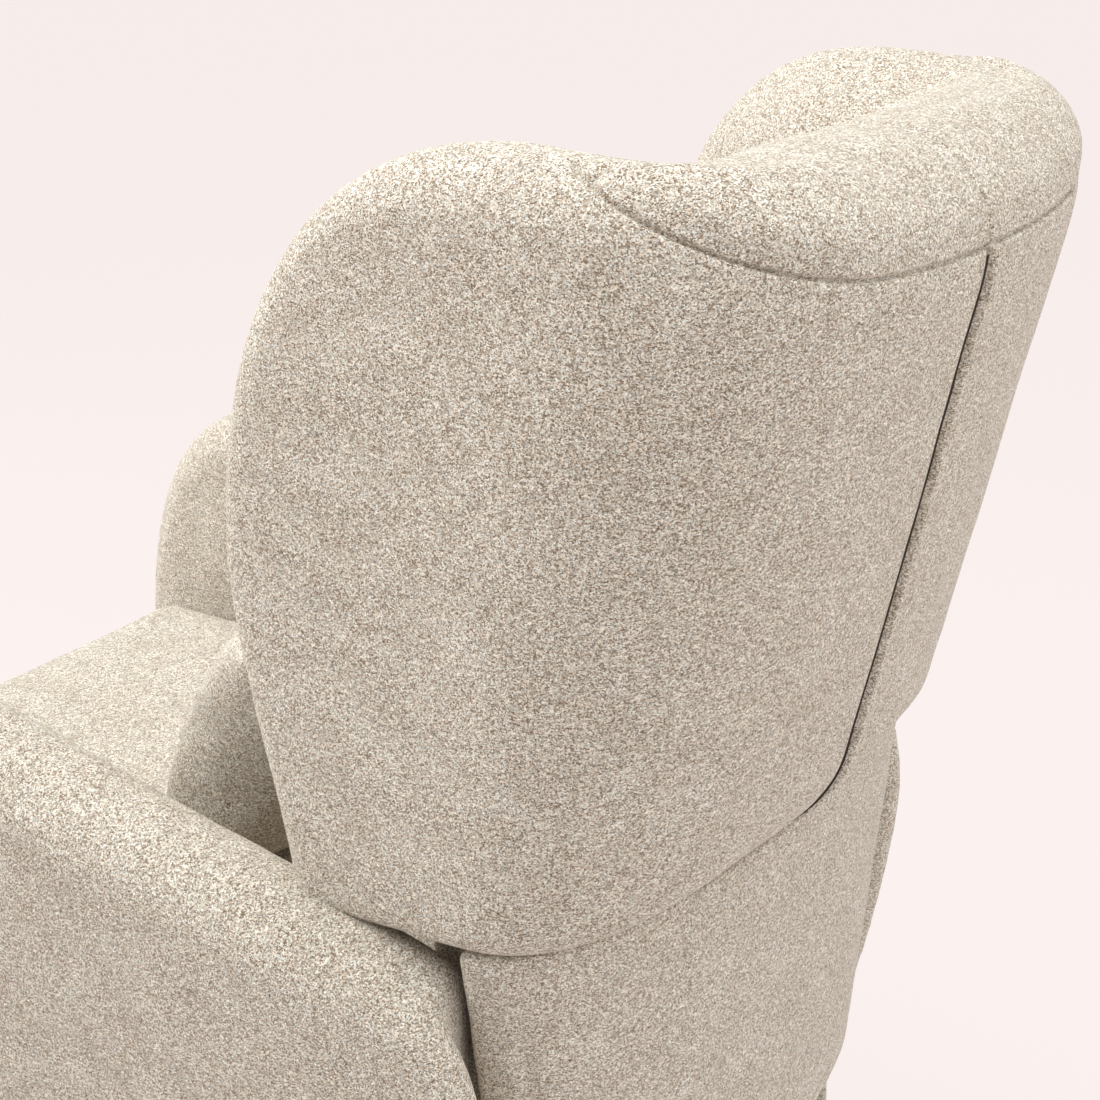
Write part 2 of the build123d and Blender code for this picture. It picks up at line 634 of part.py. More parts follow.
def make_chassis():
    bolts = chassis_bolts()
    screws = hinge_screws()
    for side, turn in (("left", False), ("right", True)):
        plate = chassis_plate() - bolts
        bracket = hinge_bracket() - screws
        rail = seat_side_rail() - bolts
        if turn:
            bracket = bracket - mirrored(cable_run(CABLE_RADIUS + 1))
            rail = rail - mirrored(lever_bore())
        save(f"chassis_plate_{side}", mirrored(plate) if turn else plate)
        save(f"hinge_bracket_{side}", mirrored(bracket) if turn else bracket)
        save(f"seat_rail_{side}", mirrored(rail) if turn else rail)
    save("seat_rail_front", seat_cross_rail(FRONT_RAIL_Y - RAIL_THICKNESS))
    save("seat_rail_rear", seat_cross_rail(REAR_RAIL_Y) - screws - cable_run(CABLE_RADIUS + 1))
    save("recline_pins", Compound(children=[recline_pin(), mirrored(recline_pin())]))
    save("frame_fasteners", Compound(children=bolts.solids() + screws.solids()))
    save("cross_tube_front", cross_tube(-155))
    save("seat_webbing", seat_webbing())
    save("lower_pivot_pins", lower_pivot_pins())
    save("dust_cover", dust_cover())
    save("front_panel", front_panel() - seat_cross_rail(FRONT_RAIL_Y - RAIL_THICKNESS))
    save("rear_apron", rear_apron())
    save("seat_cushion", seat_cushion())
    lever = release_lever()
    cable = cable_run(CABLE_RADIUS)
    save("recline_lock", recline_lock() - cable)
    save("release_cable", cable)
    save("release_lever", lever)


def make_arms():
    frame = arm_frame()
    pad = arm_pad() - frame
    save("arm_frame_left", frame)
    save("arm_pad_left", pad)
    well = lever_bore()
    save("arm_frame_right", mirrored(frame) - well)
    save("arm_pad_right", mirrored(pad) - well - lever_bezel())
    save("lever_bezel", lever_bezel())


def make_back():
    post = back_post()
    rail_low = back_rail(100, HINGE_X + PLATE + 3)
    rail_high = back_rail(610, HINGE_X + 2 * PLATE + 3)
    webbing = back_webbing()
    arm = recline_arm()
    inner = post + mirrored(post) + rail_low + rail_high + arm + mirrored(arm)
    shell = winged_shell()
    side = block(200, 400, -100, 600, 400, 1200)
    wing = (shell & side) - post
    centre = shell - side - mirrored(side) - inner - webbing
    save("wing_left", wing)
    save("wing_right", mirrored(wing))
    save("back_pad", centre)
    save("back_foot_pad", lower_pad() - inner - webbing)
    save("rear_panel", lower_panel())
    save("back_post_left", post - webbing)
    save("back_post_right", mirrored(post) - webbing)
    save("back_rails", Compound(children=[rail_low, rail_high]))
    save("back_webbing", webbing)
    save("recline_arm_left", arm)
    save("recline_arm_right", mirrored(arm))
    save("back_zipper", zipper())


def main():
    make_base()
    make_glide_base()
    make_links()
    make_chassis()
    make_arms()
    make_back()
    save("lumbar_pillow", lumbar_pillow())


main()
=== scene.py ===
import math

import bmesh
import bpy
import numpy as np
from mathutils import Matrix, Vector, noise
from mathutils.bvhtree import BVHTree


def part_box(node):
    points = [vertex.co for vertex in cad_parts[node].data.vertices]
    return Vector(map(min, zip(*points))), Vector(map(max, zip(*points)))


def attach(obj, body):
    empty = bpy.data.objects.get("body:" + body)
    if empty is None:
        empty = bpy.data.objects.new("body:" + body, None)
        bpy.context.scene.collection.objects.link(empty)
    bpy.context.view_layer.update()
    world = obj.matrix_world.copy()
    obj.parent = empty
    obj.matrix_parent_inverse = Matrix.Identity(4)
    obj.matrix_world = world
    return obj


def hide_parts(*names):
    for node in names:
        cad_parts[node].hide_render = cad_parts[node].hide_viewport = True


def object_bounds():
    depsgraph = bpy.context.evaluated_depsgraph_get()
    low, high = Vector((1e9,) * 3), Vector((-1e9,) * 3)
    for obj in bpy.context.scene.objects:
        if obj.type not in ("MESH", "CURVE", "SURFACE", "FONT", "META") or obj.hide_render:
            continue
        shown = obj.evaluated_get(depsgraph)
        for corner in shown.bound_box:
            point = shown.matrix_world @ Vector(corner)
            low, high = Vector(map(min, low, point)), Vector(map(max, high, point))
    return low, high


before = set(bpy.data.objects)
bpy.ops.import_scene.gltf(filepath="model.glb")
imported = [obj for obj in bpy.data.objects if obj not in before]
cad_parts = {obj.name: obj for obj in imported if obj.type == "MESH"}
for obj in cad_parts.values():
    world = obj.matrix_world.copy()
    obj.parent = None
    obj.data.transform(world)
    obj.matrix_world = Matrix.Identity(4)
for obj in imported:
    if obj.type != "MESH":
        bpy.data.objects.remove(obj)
cad_low, cad_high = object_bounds()

# Lengths are in metres, angles in degrees, the lens and its sensor in millimetres.

# Camera
CAMERA_AZIMUTH = 122.12
CAMERA_ELEVATION = 20.23
CAMERA_PLACE = Vector((1.2332, 0.8802, 1.2571))
CAMERA_LENS = 69.46
CAMERA_SENSOR = 36

# Winged shell of the back
SEAM_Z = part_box("back_pad")[0].z
CREST_Z = cad_high.z
HALF_WIDTH_LOW = 0.302
HALF_WIDTH_TOP = 0.2955
CORNER_LOW_Y = 0.2215
CORNER_TOP_Y = 0.243
REAR_DEPTH_LOW = 0.122
REAR_DEPTH_TOP = 0.193
REAR_POWER_LOW = 2.3
REAR_POWER_GROWTH = 0.6
REAR_STEPS = 24
WING_FRONT_Y = 0.045
WING_THICKNESS = 0.088
WING_THINNING = 0.036
BACK_THICKNESS = 0.155
SHELL_STEP = 0.006
SHELL_SMOOTHING = 16

# Seam under the head roll, and the short seams over it
TOP_SEAM_Z = 0.985
TOP_SEAM_Y = 0.4365
TOP_SEAM_SLOPE = 0.50
TOP_SEAM_DEPTH = 0.0040
TOP_SEAM_WIDTH = 0.0014
ROLL_SWELL = 0.0050
CAP_SEAM_X = 0.018
CAP_SEAM_DEPTH = 0.0036
CAP_SEAM_LOW_Z = 0.94
WING_SEAM_Y = 0.305
WING_SEAM_DEPTH = 0.0032
SHORT_SEAM_WIDTH = 0.0018

# Zipper slit with the stitched flap that laps over it
ZIPPER_LOW_X = 0.0115
ZIPPER_DRIFT = 0.0065
ZIPPER_TURN = 0.05
SLIT_DEPTH = 0.0052
SLIT_WIDTH = 0.0017
SLIT_STEP = 0.0024
FLAP_WIDTH = 0.0150
FLAP_HEIGHT = 0.0032
FLAP_STITCH_DEPTH = 0.0022
FLAP_STITCH_WIDTH = 0.0014
TAPE_HALF_WIDTH = 0.0010
TAPE_LIFT = 0.0018
TAPE_SPACING = 0.004

# Lower rear panel
PANEL_LOW_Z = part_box("rear_panel")[0].z
PANEL_HALF_LOW = 0.238
PANEL_FLARE = 0.0565
PANEL_DEPTH_LOW = 0.084
PANEL_DEEPENING = 0.019
PANEL_THICKNESS = 0.018
PANEL_EDGE = 0.006
PANEL_STEP = 0.004
HEM_HEIGHT = 0.0012
HEM_CREASE_DEPTH = 0.0040
HEM_CREASE_WIDTH = 0.004
HEM_REACH = 0.036

# Arms
ARM_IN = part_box("arm_pad_left")[0].x
ARM_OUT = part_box("arm_pad_left")[1].x
ARM_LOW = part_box("arm_pad_left")[0].z
ARM_STEP = 0.005
ARM_LEAN = 0.022
ARM_REAR_TAPER = 0.010
ARM_REAR_RELIEF = 0.044
ARM_TOP_RADIUS = 0.042
ARM_REAR_RADIUS = 0.020
ARM_FOOT_RADIUS = 0.010
ARM_SIDE_RADIUS = 0.012

# Seat cushion and lumbar pillow
SEAT_LOW, SEAT_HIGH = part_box("seat_cushion")
SEAT_STEP = 0.006
SEAT_OVERHANG = 0.016
SEAT_REAR_GAP = 0.02
SEAT_CROWN = 0.006
SEAT_FALL = 0.10
SEAT_CROWN_Y = -0.25
PILLOW_Y = -0.050
PILLOW_Z = 0.588
PILLOW_TALL = 0.225
PILLOW_FAT = 0.062
PILLOW_LEAN = 26
PILLOW_COLUMNS = 44
PILLOW_ROWS = 22

# Cloth simulation
CLOTH_PRESSURE = 4.0
CLOTH_FRAMES = 20
CLOTH_TENSION = 12
CLOTH_BENDING = 0.6


# ---------------------------------------------------------------- fields and meshes

def cell_corner(grid, at):
    """The values at one corner of every cell of a grid."""
    return grid[tuple(slice(n, size - 1 + n) for n, size in zip(at, grid.shape))]


class Field:
    """Signed distances sampled on a regular grid, turned into a quad mesh by surface nets."""

    def __init__(self, low, high, step):
        self.low = np.array(low, np.float32)
        self.step = step
        axes = [np.arange(a, b + step, step, dtype=np.float32) for a, b in zip(low, high)]
        self.x, self.y, self.z = np.meshgrid(*axes, indexing="ij")

    def cell_points(self, value):
        """One point in each cell that the surface crosses, and each cell's number or -1."""
        corners = [(i, j, k) for i in (0, 1) for j in (0, 1) for k in (0, 1)]
        edges = [(a, b) for a in corners for b in corners
                 if a < b and sum(p != q for p, q in zip(a, b)) == 1]
        cells = [n - 1 for n in value.shape]
        total = np.zeros(cells + [3], np.float32)
        count = np.zeros(cells, np.float32)
        for a, b in edges:
            start, end = cell_corner(value, a), cell_corner(value, b)
            cross = (start < 0) != (end < 0)
            t = np.where(cross, start / np.where(start == end, 1, start - end), 0)
            for axis in range(3):
                total[..., axis] += np.where(cross, a[axis] + t * (b[axis] - a[axis]), 0)
            count += cross
        used = count > 0
        index = np.full(count.shape, -1, np.int64)
        index[used] = np.arange(used.sum())
        points = (np.argwhere(used) + total[used] / count[used][:, None]) * self.step + self.low
        return points, index

    def mesh(self, name, value):
        """Quad mesh of the surface where value is zero."""
        inside = value < 0
        points, index = self.cell_points(value)
        quads = []
        for axis in range(3):
            p, q = (axis + 1) % 3, (axis + 2) % 3
            near = [slice(1, -1)] * 3
            near[axis] = slice(None, -1)
            far = list(near)
            far[axis] = slice(1, None)
            first, second = inside[tuple(near)], inside[tuple(far)]
            ring = []
            for dp, dq in ((0, 0), (1, 0), (1, 1), (0, 1)):
                cut = [slice(None)] * 3
                cut[p] = slice(dp, index.shape[p] - 1 + dp)
                cut[q] = slice(dq, index.shape[q] - 1 + dq)
                ring.append(index[tuple(cut)])
            cross = first != second
            quad = np.stack([r[cross] for r in ring], 1)
            turned = second[cross]
            quad[turned] = quad[turned][:, ::-1]
            quads.append(quad)
        return new_mesh(name, points, np.concatenate(quads))


def shade_smooth(data):
    data.polygons.foreach_set("use_smooth", [True] * len(data.polygons))


def new_mesh(name, points, quads):
    data = bpy.data.meshes.new(name)
    data.from_pydata([tuple(p) for p in points.tolist()], [], quads.tolist())
    data.update()
    shade_smooth(data)
    piece = bpy.data.objects.new(name, data)
    bpy.context.scene.collection.objects.link(piece)
    return piece


def round_and(a, b, radius):
    """Intersection of two fields with an edge of the given radius."""
    a, b = a + radius, b + radius
    return np.minimum(np.maximum(a, b), 0) + np.hypot(np.maximum(a, 0), np.maximum(b, 0)) - radius


def smooth_step(low, high, value):
    t = np.clip((value - low) / (high - low), 0, 1)
    return t * t * (3 - 2 * t)


def gauss(value, width):
    return np.exp(-(value / width) ** 2)


def outline_distance(px, py, outline):
    """Signed distance to a closed outline, negative inside."""
    best = np.full(px.shape, 1e9, np.float32)
    inside = np.zeros(px.shape, bool)
    for (ax, ay), (bx, by) in zip(outline, outline[1:] + outline[:1]):
        dx, dy = bx - ax, by - ay
        t = np.clip(((px - ax) * dx + (py - ay) * dy) / max(dx * dx + dy * dy, 1e-12), 0, 1)
        best = np.minimum(best, (px - ax - t * dx) ** 2 + (py - ay - t * dy) ** 2)
        if ay != by:
            inside ^= ((ay > py) != (by > py)) & (px < ax + (py - ay) * dx / dy)
    best = np.sqrt(best)
    return np.where(inside, -best, best)


def plan_distance(grid, curve_at):
    """Signed distance to a plan that changes with height, level by level."""
    plan = np.empty_like(grid.x)
    for k in range(grid.x.shape[2]):
        curve = curve_at(float(grid.z[0, 0, k]))
        plan[:, :, k] = outline_distance(grid.x[:, :, k], grid.y[:, :, k], curve)
    return plan


def bezier(a, b, c, d, steps=14):
    points = []
    for i in range(steps):
        t = i / steps
        weights = ((1 - t) ** 3, 3 * t * (1 - t) ** 2, 3 * t * t * (1 - t), t ** 3)
        points.append(tuple(sum(w * p[k] for w, p in zip(weights, (a, b, c, d))) for k in (0, 1)))
    return points


def rear_curve(half, corner, depth, power, front):
    """Plan of a wrap-round back, as (x, y): straight sides from y = front, then a rounded rear."""
    rear = []
    for i in range(-REAR_STEPS, REAR_STEPS + 1):
        angle = math.radians(90 * i / REAR_STEPS)
        x = half * math.copysign(abs(math.sin(angle)) ** (2 / power), -math.sin(angle))
        rear.append((x, corner + depth * max(math.cos(angle), 0) ** (2 / power)))
    return [(half, front)] + rear + [(-half, front)]


def apply_modifiers(piece):
    graph = bpy.context.evaluated_depsgraph_get()
    data = bpy.data.meshes.new_from_object(piece.evaluated_get(graph))
    piece.modifiers.clear()
    old = piece.data
    piece.data = data
    bpy.data.meshes.remove(old)
    shade_smooth(data)
    return piece


def subdivided(piece, levels=1):
    modifier = piece.modifiers.new("subdivision", "SUBSURF")
    modifier.levels = levels
    modifier.render_levels = levels
    return apply_modifiers(piece)


def vertex_values(data, what):
    flat = np.empty(len(data.vertices) * 3, np.float32)
    data.vertices.foreach_get(what, flat)
    return flat.reshape(-1, 3)


def coordinates(piece):
    return vertex_values(piece.data, "co")


def normals(piece):
    return vertex_values(piece.data, "normal")


def set_coordinates(piece, points):
    piece.data.vertices.foreach_set("co", points.astype(np.float32).ravel())
    piece.data.update()


def swell(piece, push):
    """Moves every point along its normal by its own amount."""
    set_coordinates(piece, coordinates(piece) + normals(piece) * push[:, None])


def finer_near(piece, test):
    """Splits the faces where test(points) holds, so that a seam a few millimetres wide has a shape."""
    near = test(coordinates(piece))
    mesh = bmesh.new()
    mesh.from_mesh(piece.data)
    mesh.verts.ensure_lookup_table()
    edges = [e for e in mesh.edges if near[e.verts[0].index] and near[e.verts[1].index]]
    bmesh.ops.subdivide_edges(mesh, edges=edges, cuts=1, use_grid_fill=True)
    mesh.to_mesh(piece.data)
    mesh.free()
    shade_smooth(piece.data)


def settle(piece, reach):
    """Lets a cover settle under the pressure of its filling, each point within reach of its place."""
    scene = bpy.context.scene
    before = coordinates(piece)
    cloth = piece.modifiers.new("cover_cloth", "CLOTH")
    cloth.settings.use_pressure = True
    cloth.settings.uniform_pressure_force = CLOTH_PRESSURE
    cloth.settings.effector_weights.gravity = 0
    cloth.settings.tension_stiffness = CLOTH_TENSION
    cloth.settings.bending_stiffness = CLOTH_BENDING
    cloth.point_cache.frame_start = 1
    cloth.point_cache.frame_end = CLOTH_FRAMES
    for number in range(1, CLOTH_FRAMES + 1):
        scene.frame_set(number)
    graph = bpy.context.evaluated_depsgraph_get()
    data = bpy.data.meshes.new_from_object(piece.evaluated_get(graph))
    move = vertex_values(data, "co") - before
    piece.modifiers.clear()
    bpy.data.meshes.remove(data)
    scene.frame_set(1)
    far = np.maximum(np.linalg.norm(move, axis=1), 1e-9)
    set_coordinates(piece, before + move * np.minimum(1, reach / far)[:, None])


def waves(piece, *layers):
    """Gentle unevenness of a stuffed cover: layers of smooth noise, each its scale and height."""
    places = coordinates(piece).tolist()
    return sum(np.array([noise.noise(Vector(p) * scale) for p in places], np.float32) * height
               for scale, height in layers)


# ---------------------------------------------------------------- the winged shell

def shell_plan(z):
    """Outer plan of the shell at height z."""
    t = min((z - SEAM_Z) / (TOP_SEAM_Z - SEAM_Z), 1)
    half = HALF_WIDTH_LOW + t * (HALF_WIDTH_TOP - HALF_WIDTH_LOW)
    corner = CORNER_LOW_Y + t * (CORNER_TOP_Y - CORNER_LOW_Y)
    depth = REAR_DEPTH_LOW + t * (REAR_DEPTH_TOP - REAR_DEPTH_LOW)
    power = REAR_POWER_LOW + REAR_POWER_GROWTH * min(max(t, 0), 1)
    return rear_curve(half, corner, depth, power, -0.3)


def wing_outline():
    """Side outline of the wings and head roll, as (y, z)."""
    front, top = WING_FRONT_Y, CREST_Z + 0.003
    return (bezier((front + 0.050, SEAM_Z - 0.02), (front + 0.034, 0.66), (front, 0.73), (front, 0.81))
            + bezier((front, 0.81), (front, 0.93), (front + 0.055, top), (front + 0.185, top))
            + bezier((front + 0.185, top), (0.31, top), (0.38, top - 0.009), (0.44, top - 0.023))
            + [(0.60, top - 0.053), (0.60, SEAM_Z - 0.02)])


def blurred(field, passes):
    for _ in range(passes):
        for axis in range(3):
            field = (np.roll(field, 1, axis) + 2 * field + np.roll(field, -1, axis)) / 4
    return field


def shell_field(grid):
    plan = plan_distance(grid, shell_plan)
    side = smooth_step(0.10, 0.25, np.abs(grid.x))
    forward = smooth_step(0.24, 0.06, grid.y)
    thickness = (BACK_THICKNESS + (WING_THICKNESS - BACK_THICKNESS) * side
                 - WING_THINNING * forward * side)
    wall = np.abs(plan + thickness / 2) - thickness / 2
    rim = outline_distance(grid.y, grid.z, wing_outline())
    shape = round_and(wall, rim, thickness / 2 - 0.003)
    within = smooth_step(-0.03, -0.07, plan)
    shape = shape + (blurred(shape, SHELL_SMOOTHING) - shape) * within
    rear = smooth_step(0.20, 0.34, grid.y)
    bottom = SEAM_Z - 0.003 - 0.008 * rear
    return round_and(shape, bottom - grid.z, 0.014 + 0.022 * rear)


def seam_height(points):
    """How far each point is above the seam plane between the rear face and the head roll."""
    return points[:, 2] - TOP_SEAM_Z - TOP_SEAM_SLOPE * (TOP_SEAM_Y - points[:, 1])


def zipper_x(z):
    """Where the zipper slit runs, a little to one side of the middle and turning out at its foot."""
    t = (z - SEAM_Z) / (TOP_SEAM_Z - SEAM_Z)
    foot = np.exp(-np.maximum(z - SEAM_Z - 0.008, 0) / 0.018)
    return ZIPPER_LOW_X + ZIPPER_DRIFT * t + ZIPPER_TURN * foot


def outer_side(points, outward):
    """Near 1 on the outer skin of the shell and near 0 on its inner skin."""
    lean = outward[:, 0] * points[:, 0] * 4 + outward[:, 1] * smooth_step(0.2, 0.3, points[:, 1])
    return smooth_step(0.05, 0.35, lean)


def near_slit(points, reach, front, above):
    """Beside the zipper slit, behind y = front and up to a little above the seam."""
    beside = np.abs(points[:, 0] - zipper_x(points[:, 2])) < reach
    return beside & (points[:, 1] > front) & (seam_height(points) < above)


def near_top_seam(points, reach):
    return (np.abs(seam_height(points)) < reach) & (points[:, 1] > 0.2)


def near_cap_seam(points, reach):
    return (np.abs(points[:, 0] - CAP_SEAM_X) < reach) & (points[:, 2] > CAP_SEAM_LOW_Z)


def roll_relief(points, outer):
    """The seam under the head roll, the roll's swell above it and the short seams over it."""
    above = seam_height(points)
    fade = smooth_step(0.235, 0.275, points[:, 1])
    bulge = smooth_step(0.0, 0.020, above) * smooth_step(0.11, 0.03, above)
    relief = fade * outer * (-TOP_SEAM_DEPTH * gauss(above, TOP_SEAM_WIDTH)
                             - 0.0006 * gauss(above + 0.010, 0.012) + ROLL_SWELL * bulge)
    roll = smooth_step(-0.001, 0.004, above) * smooth_step(0.90, 0.97, points[:, 2])
    relief -= CAP_SEAM_DEPTH * roll * gauss(points[:, 0] - CAP_SEAM_X, SHORT_SEAM_WIDTH)
    beside = smooth_step(0.16, 0.20, np.abs(points[:, 0])) * smooth_step(0.055, 0.01, above)
    relief -= (WING_SEAM_DEPTH * roll * beside * outer
               * gauss(points[:, 1] - WING_SEAM_Y, SHORT_SEAM_WIDTH))
    return relief


def zipper_relief(points, outer):
    """The slit, its raised flap with a row of stitches, and the lower side beyond the slit."""
    across = points[:, 0] - zipper_x(points[:, 2])
    below = smooth_step(0.25, 0.28, points[:, 1]) * smooth_step(0.002, -0.004, seam_height(points))
    flap = smooth_step(-FLAP_WIDTH, 0.0025 - FLAP_WIDTH, across) * smooth_step(-0.0010, -0.0030, across)
    far_side = smooth_step(0.012, 0.0, across) * smooth_step(-0.001, 0.001, across)
    return outer * below * (-SLIT_DEPTH * gauss(across, SLIT_WIDTH) + FLAP_HEIGHT * flap
                            - FLAP_STITCH_DEPTH * gauss(across + FLAP_WIDTH, FLAP_STITCH_WIDTH)
                            - SLIT_STEP * far_side)


def make_shell():
    grid = Field((-0.33, 0.01, SEAM_Z - 0.03), (0.33, 0.47, CREST_Z + 0.02), SHELL_STEP)
    piece = subdivided(grid.mesh("winged_back_cover", shell_field(grid)))
    finer_near(piece, lambda p: (near_slit(p, 0.024, 0.25, 0.012) | near_top_seam(p, 0.011)
                                 | near_cap_seam(p, 0.012)))
    finer_near(piece, lambda p: near_slit(p, 0.020, 0.28, 0.008) | near_top_seam(p, 0.005))
    points = coordinates(piece)
    outer = outer_side(points, normals(piece))
    swell(piece, waves(piece, (11.0, 0.0011), (31.0, 0.0004)) + roll_relief(points, outer)
          + zipper_relief(points, outer))
    return piece


def make_zipper_and_painted_slit_shade(shell):
    """The zipper tape at the bottom of the slit: a narrow ribbon laid on the shell's rear face, made near
    black so that it is partly the tape's own colour and partly painted shade deep in the slit.
    """
    levels = np.arange(SEAM_Z + 0.006, TOP_SEAM_Z - 0.001, TAPE_SPACING)
    route = [(float(zipper_x(np.float64(z))), float(z)) for z in levels]
    tree = BVHTree.FromObject(shell, bpy.context.evaluated_depsgraph_get())
    points = []
    for (x, z), (x2, z2) in zip(route[:-1], route[1:]):
        across = Vector((z2 - z, 0, x - x2)).normalized() * TAPE_HALF_WIDTH
        for side in (-1, 1):
            start = Vector((x, 0.6, z)) + side * across
            hit = tree.ray_cast(start, Vector((0, -1, 0)))[0]
            points.append((hit.x, hit.y + TAPE_LIFT, hit.z))
    quads = [(2 * i, 2 * i + 1, 2 * i + 3, 2 * i + 2) for i in range(len(points) // 2 - 1)]
    return new_mesh("zipper_tape_and_painted_slit_shade", np.array(points), np.array(quads))


# ---------------------------------------------------------------- lower rear panel, arms, seat

def panel_plan(z):
    """Outer plan of the lower rear panel at height z."""
    t = (z - PANEL_LOW_Z) / (SEAM_Z - PANEL_LOW_Z)
    half = PANEL_HALF_LOW + PANEL_FLARE * t
    return rear_curve(half, CORNER_LOW_Y, PANEL_DEPTH_LOW + PANEL_DEEPENING * t, REAR_POWER_LOW, 0.0)


def make_rear_panel():
    grid = Field((-0.32, 0.19, PANEL_LOW_Z - 0.02), (0.32, 0.36, SEAM_Z + 0.03), PANEL_STEP)
    plan = plan_distance(grid, panel_plan)
    hem = smooth_step(CORNER_LOW_Y + 0.045, CORNER_LOW_Y + 0.030, grid.y)
    wall = np.abs(plan + PANEL_THICKNESS / 2 - HEM_HEIGHT * hem) - PANEL_THICKNESS / 2
    shape = round_and(wall, CORNER_LOW_Y - grid.y, PANEL_EDGE)
    shape = round_and(shape, PANEL_LOW_Z - grid.z, PANEL_EDGE)
    rear = smooth_step(0.20, 0.34, grid.y)
    shape = round_and(shape, grid.z - SEAM_Z + 0.001 - 0.004 * rear, 0.004)
    piece = subdivided(grid.mesh("lower_rear_cover", shape))
    points, outward = coordinates(piece), normals(piece)
    outer = smooth_step(0.2, 0.6, outward[:, 0] * np.sign(points[:, 0]) + outward[:, 1] * 0.4)
    hang = smooth_step(SEAM_Z - 0.02, SEAM_Z - 0.10, points[:, 2])
    crease = gauss(points[:, 1] - CORNER_LOW_Y - HEM_REACH, HEM_CREASE_WIDTH)
    swell(piece, waves(piece, (14.0, 0.0010), (40.0, 0.0004)) - HEM_CREASE_DEPTH * outer * hang * crease)
    return piece


def arm_outline():
    """Side outline of an arm, as (y, z): rounded front, top easing down to a rounded rear end."""
    return (bezier((-0.553, ARM_LOW), (-0.557, 0.20), (-0.560, 0.35), (-0.556, 0.45))
            + bezier((-0.556, 0.45), (-0.545, 0.60), (-0.490, 0.675), (-0.385, 0.675))
            + bezier((-0.385, 0.675), (-0.26, 0.664), (-0.10, 0.626), (0.04, 0.597))
            + bezier((0.04, 0.597), (0.17, 0.570), (0.258, 0.560), (0.259, 0.43))
            + bezier((0.259, 0.43), (0.254, 0.32), (0.215, 0.16), (0.196, ARM_LOW)))


def make_arm(side):
    """An arm: made as the left one, and mirrored for the right."""
    grid = Field((0.24, -0.58, ARM_LOW - 0.02), (0.37, 0.28, 0.70), ARM_STEP)
    profile = outline_distance(grid.y, grid.z, arm_outline())
    middle, half = (ARM_IN + ARM_OUT) / 2, (ARM_OUT - ARM_IN) / 2 - 0.001
    lean = ARM_LEAN * smooth_step(0.42, ARM_LOW, grid.z)
    outer = grid.x - middle - half + lean + ARM_REAR_TAPER * smooth_step(0.10, 0.24, grid.y)
    inner = middle - half + ARM_REAR_RELIEF * smooth_step(0.206, 0.226, grid.y) - grid.x
    slab = round_and(outer, inner, ARM_SIDE_RADIUS)
    radius = ARM_TOP_RADIUS - (ARM_TOP_RADIUS - ARM_REAR_RADIUS) * smooth_step(0.15, 0.24, grid.y)
    foot = smooth_step(0.20, 0.10, grid.z)
    shape = round_and(slab, profile, radius - (radius - ARM_FOOT_RADIUS) * foot)
    piece = subdivided(grid.mesh("arm_cover_" + side, shape))
    swell(piece, waves(piece, (9.0, 0.0016), (30.0, 0.0004)))
    if side == "right":
        set_coordinates(piece, coordinates(piece) * np.array([-1, 1, 1], np.float32))
        piece.data.flip_normals()
    return piece


def make_seat():
    low, high = SEAT_LOW, SEAT_HIGH
    grid = Field((-0.27, low.y - 0.04, low.z - 0.02), (0.27, 0.17, high.z + 0.03), SEAT_STEP)
    side = np.abs(grid.x) - high.x
    ends = np.maximum(low.y - SEAT_OVERHANG - grid.y, grid.y - high.y + SEAT_REAR_GAP)
    crown = (high.z + SEAT_CROWN - SEAT_FALL * np.maximum(np.abs(grid.x) - 0.10, 0) ** 2
             - SEAT_FALL * (grid.y - SEAT_CROWN_Y) ** 2)
    box = round_and(side, ends, 0.03)
    shape = round_and(box, grid.z - crown, 0.036)
    shape = round_and(shape, low.z + 0.002 - grid.z, 0.015)
    piece = grid.mesh("seat_cushion_cover", shape)
    settle(piece, 0.004)
    subdivided(piece)
    swell(piece, waves(piece, (8.0, 0.0016), (26.0, 0.0005)))
    return piece


def pillow_points(width):
    """Grids of points for the pillow's front and back skins, fat in the middle and thin at the edges."""
    points = []
    for skin in (1, -1):
        for j in range(PILLOW_ROWS + 1):
            for i in range(PILLOW_COLUMNS + 1):
                u, v = 2 * i / PILLOW_COLUMNS - 1, 2 * j / PILLOW_ROWS - 1
                bow_x = 1 - 0.05 * (1 - v * v) * abs(u) ** 3
                bow_z = 1 - 0.08 * (1 - u * u) * abs(v) ** 3
                fat = PILLOW_FAT * ((1 - u ** 4) * (1 - v ** 4)) ** 0.55
                points.append((u * bow_x * width / 2, -skin * fat, v * bow_z * PILLOW_TALL / 2))
    return np.array(points)


def pillow_number(front, i, j):
    """Number of a pillow point. The back skin uses the front skin's points along the edges."""
    edge = i in (0, PILLOW_COLUMNS) or j in (0, PILLOW_ROWS)
    skin = 0 if front or edge else PILLOW_ROWS + 1
    return (skin + j) * (PILLOW_COLUMNS + 1) + i


def pillow_faces():
    faces = []
    for front in (True, False):
        for j in range(PILLOW_ROWS):
            for i in range(PILLOW_COLUMNS):
                ring = ((i, j), (i + 1, j), (i + 1, j + 1), (i, j + 1))
                face = [pillow_number(front, *corner) for corner in ring]
                faces.append(face if front else face[::-1])
    return np.array(faces)


def drop_loose_points(piece):
    mesh = bmesh.new()
    mesh.from_mesh(piece.data)
    loose = [v for v in mesh.verts if not v.link_faces]
    bmesh.ops.delete(mesh, geom=loose, context="VERTS")
    mesh.to_mesh(piece.data)
    mesh.free()


